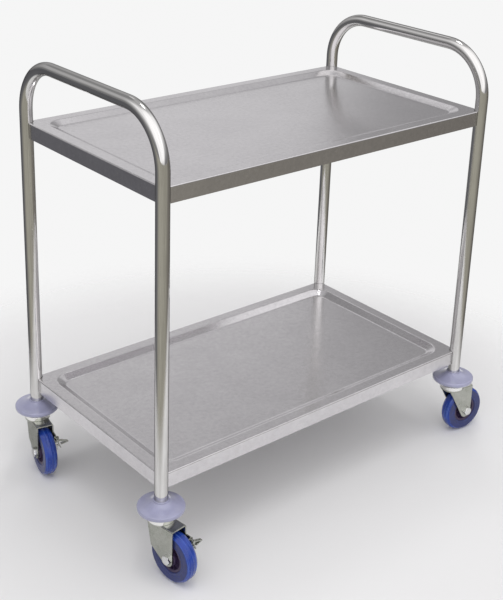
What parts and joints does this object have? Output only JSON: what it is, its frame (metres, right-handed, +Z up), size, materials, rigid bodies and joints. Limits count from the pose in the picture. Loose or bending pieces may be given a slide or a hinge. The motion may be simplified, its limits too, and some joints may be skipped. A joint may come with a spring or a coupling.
{
  "type": "serving_trolley",
  "caption": "Stainless steel serving trolley with an upper and a lower tray, bent tube end frames with handles, grey bumper discs and swivel castors with blue tyres, some of them braked",
  "frame": {"origin": "on the floor, midway between the four leg axes", "axes": "+X along the length towards the end without brakes, +Y across the width, away from the side shown nearest in the picture, +Z up"},
  "size_m": [0.9141, 0.6052, 0.8749],
  "materials": {
    "polished_tube": "polished stainless tube",
    "satin_sheet": "satin stainless sheet",
    "plain_steel": "plain steel",
    "zinc_plate": "bright zinc plate",
    "bright_fastener": "bright plated bolt and nut",
    "grey_plastic": "grey moulded plastic",
    "nylon": "natural nylon",
    "blue_tyre": "blue elastic tyre",
    "wheel_centre": "dark moulded wheel centre"
  },
  "bodies": {
    "trolley_frame": {"left_end_frame": "polished_tube", "right_end_frame": "polished_tube", "lower_tray": "satin_sheet", "top_tray": "satin_sheet", "lower_tray_saddles": "plain_steel", "top_tray_saddles": "plain_steel", "tray_washers": "zinc_plate", "tray_bolts": "zinc_plate", "leg_rivet_nuts": "zinc_plate", "leg_plugs": "nylon", "swivel_top_races": "zinc_plate", "front_left_bumper": "grey_plastic", "front_left_castor_stem": "zinc_plate", "rear_left_bumper": "grey_plastic", "rear_left_castor_stem": "zinc_plate", "front_right_bumper": "grey_plastic", "front_right_castor_stem": "zinc_plate", "rear_right_bumper": "grey_plastic", "rear_right_castor_stem": "zinc_plate"},
    "front_left_castor": {"front_left_fork": "zinc_plate", "front_left_swivel_balls": "plain_steel", "front_left_axle_bolt": "bright_fastener", "front_left_axle_nut": "bright_fastener", "front_left_axle_sleeve": "plain_steel", "front_left_brake_bracket": "zinc_plate", "front_left_brake_rivets": "zinc_plate", "front_left_brake_pin": "zinc_plate"},
    "front_left_wheel": {"front_left_tyre": "blue_tyre", "front_left_wheel_core": "wheel_centre", "front_left_wheel_bush": "nylon"},
    "front_left_brake": {"front_left_brake_lever": "zinc_plate"},
    "rear_left_castor": {"rear_left_fork": "zinc_plate", "rear_left_swivel_balls": "plain_steel", "rear_left_axle_bolt": "bright_fastener", "rear_left_axle_nut": "bright_fastener", "rear_left_axle_sleeve": "plain_steel", "rear_left_brake_bracket": "zinc_plate", "rear_left_brake_rivets": "zinc_plate", "rear_left_brake_pin": "zinc_plate"},
    "rear_left_wheel": {"rear_left_tyre": "blue_tyre", "rear_left_wheel_core": "wheel_centre", "rear_left_wheel_bush": "nylon"},
    "rear_left_brake": {"rear_left_brake_lever": "zinc_plate"},
    "front_right_castor": {"front_right_fork": "zinc_plate", "front_right_swivel_balls": "plain_steel", "front_right_axle_bolt": "bright_fastener", "front_right_axle_nut": "bright_fastener", "front_right_axle_sleeve": "plain_steel"},
    "front_right_wheel": {"front_right_tyre": "blue_tyre", "front_right_wheel_core": "wheel_centre", "front_right_wheel_bush": "nylon"},
    "rear_right_castor": {"rear_right_fork": "zinc_plate", "rear_right_swivel_balls": "plain_steel", "rear_right_axle_bolt": "bright_fastener", "rear_right_axle_nut": "bright_fastener", "rear_right_axle_sleeve": "plain_steel"},
    "rear_right_wheel": {"rear_right_tyre": "blue_tyre", "rear_right_wheel_core": "wheel_centre", "rear_right_wheel_bush": "nylon"}
  },
  "joints": [
    {"name": "front_left_swivel", "type": "hinge", "parent": "trolley_frame", "child": "front_left_castor", "pos_m": [-0.3925, -0.2175, 0.112], "axis": [0, 0, 1], "continuous": true},
    {"name": "front_left_roll", "type": "hinge", "parent": "front_left_castor", "child": "front_left_wheel", "pos_m": [-0.38763, -0.25216, 0.05], "axis": [0.9903, 0.1392, 0], "continuous": true},
    {"name": "front_left_brake_press", "type": "hinge", "parent": "front_left_castor", "child": "front_left_brake", "pos_m": [-0.36484, -0.2742, 0.082], "axis": [-0.1392, 0.9903, 0], "range_deg": [0, 30]},
    {"name": "rear_left_swivel", "type": "hinge", "parent": "trolley_frame", "child": "rear_left_castor", "pos_m": [-0.3925, 0.2175, 0.112], "axis": [0, 0, 1], "continuous": true},
    {"name": "rear_left_roll", "type": "hinge", "parent": "rear_left_castor", "child": "rear_left_wheel", "pos_m": [-0.39918, 0.18314, 0.05], "axis": [0.9816, -0.1908, 0], "continuous": true},
    {"name": "rear_left_brake_press", "type": "hinge", "parent": "rear_left_castor", "child": "rear_left_brake", "pos_m": [-0.38481, 0.15488, 0.082], "axis": [0.1908, 0.9816, 0], "range_deg": [0, 30]},
    {"name": "front_right_swivel", "type": "hinge", "parent": "trolley_frame", "child": "front_right_castor", "pos_m": [0.3925, -0.2175, 0.112], "axis": [0, 0, 1], "continuous": true},
    {"name": "front_right_roll", "type": "hinge", "parent": "front_right_castor", "child": "front_right_wheel", "pos_m": [0.42724, -0.22176, 0.05], "axis": [0.1219, 0.9925, 0], "continuous": true},
    {"name": "rear_right_swivel", "type": "hinge", "parent": "trolley_frame", "child": "rear_right_castor", "pos_m": [0.3925, 0.2175, 0.112], "axis": [0, 0, 1], "continuous": true},
    {"name": "rear_right_roll", "type": "hinge", "parent": "rear_right_castor", "child": "rear_right_wheel", "pos_m": [0.39128, 0.25248, 0.05], "axis": [-0.9994, -0.0349, 0], "continuous": true}
  ]
}
